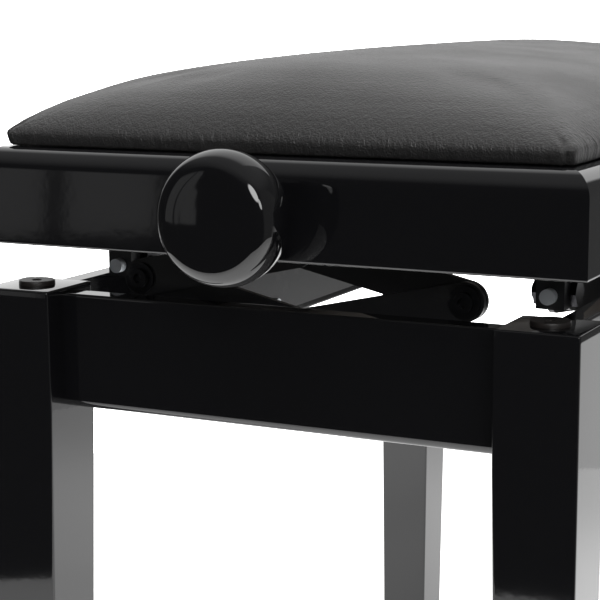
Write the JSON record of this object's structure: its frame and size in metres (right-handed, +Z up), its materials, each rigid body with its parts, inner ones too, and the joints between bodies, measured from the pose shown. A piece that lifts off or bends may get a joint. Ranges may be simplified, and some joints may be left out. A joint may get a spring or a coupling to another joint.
{
  "type": "adjustable piano bench",
  "caption": "Rectangular piano bench with a domed padded seat that a side knob raises and lowers on scissor links over a square-legged frame.",
  "frame": {"origin": "centre of the footprint, on the floor", "axes": "+Z up, +Y along the bench, +X across it"},
  "size_m": [0.34, 0.666, 0.4982],
  "materials": {
    "black_lacquer": "high-gloss black polyester lacquer on wood",
    "knob_lacquer": "turned wood, high-gloss black lacquer",
    "leathercloth": "fine-grained matte leathercloth",
    "plywood": "plain birch plywood",
    "beech": "plain beech",
    "rubber": "dark brown rubber",
    "zinc": "bright zinc plate",
    "bright_steel": "turned bright steel",
    "bronze": "machined bronze",
    "black_oxide": "black oxide steel",
    "black_steel": "satin black powder coat"
  },
  "bodies": {
    "base": {"leg_near_left": "black_lacquer", "leg_near_right": "black_lacquer", "leg_far_left": "black_lacquer", "leg_far_right": "black_lacquer", "apron_near": "black_lacquer", "apron_far": "black_lacquer", "apron_left": "black_lacquer", "apron_right": "black_lacquer", "base_corner_braces": "beech", "leg_bolts": "zinc", "floor_glides": "rubber", "leg_bumpers": "rubber", "lower_track_left": "black_steel", "lower_track_right": "black_steel", "lower_track_screws": "zinc", "base_arm_studs": "black_oxide", "link_base_pivots": "black_oxide"},
    "seat": {"seat_rail_near": "black_lacquer", "seat_rail_far": "black_lacquer", "seat_rail_left": "black_lacquer", "seat_rail_right": "black_lacquer", "seat_board": "plywood", "seat_corner_blocks": "beech", "seat_block_screws": "zinc", "seat_pad": "leathercloth", "upper_track_left": "black_steel", "upper_track_right": "black_steel", "hanger_near_left": "black_steel", "hanger_near_right": "black_steel", "hanger_far_left": "black_steel", "hanger_far_right": "black_steel", "hanger_axle_left": "black_oxide", "hanger_axle_right": "black_oxide", "hanger_bolt_left": "zinc", "hanger_bolt_right": "zinc", "spindle_bracket_near": "black_steel", "spindle_bracket_far": "black_steel", "spindle_bushes": "bronze", "knob_rose_near": "knob_lacquer", "knob_rose_far": "knob_lacquer", "link_top_pivots": "black_oxide"},
    "spindle": {"spindle": "bright_steel", "knob_near": "knob_lacquer", "knob_far": "knob_lacquer", "spindle_collars": "bright_steel"},
    "crossbar": {"crossbar": "black_steel", "spindle_nut": "bronze", "crossbar_pins": "black_oxide"},
    "seat_arms": {"seat_arm_left": "black_steel", "seat_arm_right": "black_steel", "seat_arm_rollers": "black_oxide"},
    "base_arms": {"base_arm_left": "black_steel", "base_arm_right": "black_steel", "scissor_cross_bolts": "black_oxide"},
    "upper_links_left": {"upper_links_left": "black_steel"},
    "upper_links_right": {"upper_links_right": "black_steel"},
    "lower_links_left": {"lower_links_left": "black_steel", "link_side_bolts_left": "black_oxide"},
    "lower_links_right": {"lower_links_right": "black_steel", "link_side_bolts_right": "black_oxide"}
  },
  "joints": [
    {"name": "seat_height", "type": "slide", "parent": "base", "child": "seat", "axis": [0, 0, 1], "range_m": [-0.02, 0.08]},
    {"name": "knob_turn", "type": "hinge", "parent": "seat", "child": "spindle", "pos_m": [0, 0, 0.424], "axis": [0, 1, 0], "range_deg": [-363.99, 1455.92]},
    {"name": "crossbar_slide", "type": "slide", "parent": "seat", "child": "crossbar", "axis": [0, 1, 0], "range_m": [-0.01619, 0.00405]},
    {"name": "seat_arm_swing", "type": "hinge", "parent": "seat", "child": "seat_arms", "pos_m": [0, -0.196, 0.379], "axis": [1, 0, 0], "range_deg": [-11.73, 2.94]},
    {"name": "base_arm_swing", "type": "hinge", "parent": "base", "child": "base_arms", "pos_m": [0, -0.196, 0.33], "axis": [1, 0, 0], "range_deg": [-2.94, 11.73]},
    {"name": "upper_link_left_swing", "type": "hinge", "parent": "seat", "child": "upper_links_left", "pos_m": [0, 0, 0.3995], "axis": [0, 1, 0], "range_deg": [-26.33, 6.59]},
    {"name": "upper_link_right_swing", "type": "hinge", "parent": "seat", "child": "upper_links_right", "pos_m": [0, 0, 0.3995], "axis": [0, 1, 0], "range_deg": [-6.59, 26.33]},
    {"name": "lower_link_left_swing", "type": "hinge", "parent": "base", "child": "lower_links_left", "pos_m": [0, 0, 0.3575], "axis": [0, 1, 0], "range_deg": [-6.59, 26.33]},
    {"name": "lower_link_right_swing", "type": "hinge", "parent": "base", "child": "lower_links_right", "pos_m": [0, 0, 0.3575], "axis": [0, 1, 0], "range_deg": [-26.33, 6.59]}
  ],
  "couplings": [
    {"joint": "knob_turn", "follows": "seat_height", "rad_per_m": 317.63},
    {"joint": "crossbar_slide", "follows": "seat_height", "ratio": -0.2022},
    {"joint": "seat_arm_swing", "follows": "seat_height", "rad_per_m": -2.5567},
    {"joint": "base_arm_swing", "follows": "seat_height", "rad_per_m": 2.5567},
    {"joint": "upper_link_left_swing", "follows": "seat_height", "rad_per_m": -5.7415},
    {"joint": "upper_link_right_swing", "follows": "seat_height", "rad_per_m": 5.7415},
    {"joint": "lower_link_left_swing", "follows": "seat_height", "rad_per_m": 5.7415},
    {"joint": "lower_link_right_swing", "follows": "seat_height", "rad_per_m": -5.7415}
  ]
}
